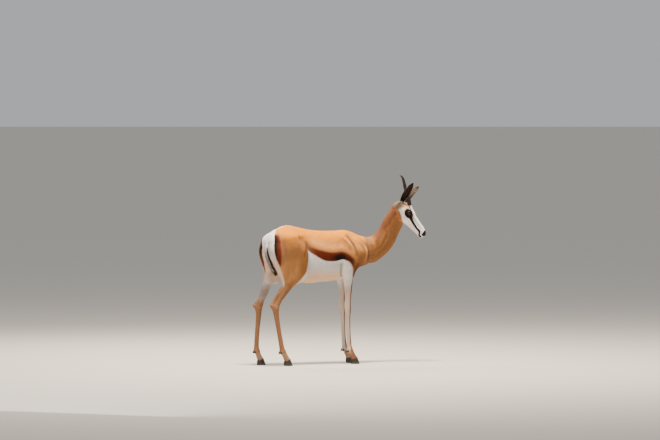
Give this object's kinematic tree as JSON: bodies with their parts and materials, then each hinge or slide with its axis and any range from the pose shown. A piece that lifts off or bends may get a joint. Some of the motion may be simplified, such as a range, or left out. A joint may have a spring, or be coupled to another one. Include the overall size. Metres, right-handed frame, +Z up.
{
  "type": "springbok",
  "caption": "Life-size springbok ewe standing still, head raised and turned to its right, with slender ringed horns and hanging tail.",
  "frame": {"origin": "on the floor, under the middle of the bounding box", "axes": "+X the way the body faces, +Y the animal's left, +Z up"},
  "size_m": [1.0324, 0.3024, 1.095],
  "materials": {
    "tan_coat": "short matte hair on hide",
    "neck_coat": "short matte hair on hide",
    "white_coat": "short matte hair on hide",
    "grey_coat": "short matte hair on hide",
    "horn": "satin horn with ridges",
    "hoof": "satin horn",
    "eye": "wet and glossy"
  },
  "bodies": {
    "root": {"trunk": "tan_coat", "neck": "neck_coat", "head": "white_coat", "eye_left": "eye", "horn_left": "horn", "ear_left": "grey_coat", "foreleg_left": "white_coat", "hindleg_left": "tan_coat", "hoof_fore_left_outer": "hoof", "hoof_fore_left_inner": "hoof", "hoof_hind_left_outer": "hoof", "hoof_hind_left_inner": "hoof", "eye_right": "eye", "horn_right": "horn", "ear_right": "grey_coat", "foreleg_right": "white_coat", "hindleg_right": "tan_coat", "hoof_fore_right_outer": "hoof", "hoof_fore_right_inner": "hoof", "hoof_hind_right_outer": "hoof", "hoof_hind_right_inner": "hoof", "tail": "white_coat"}
  },
  "joints": []
}
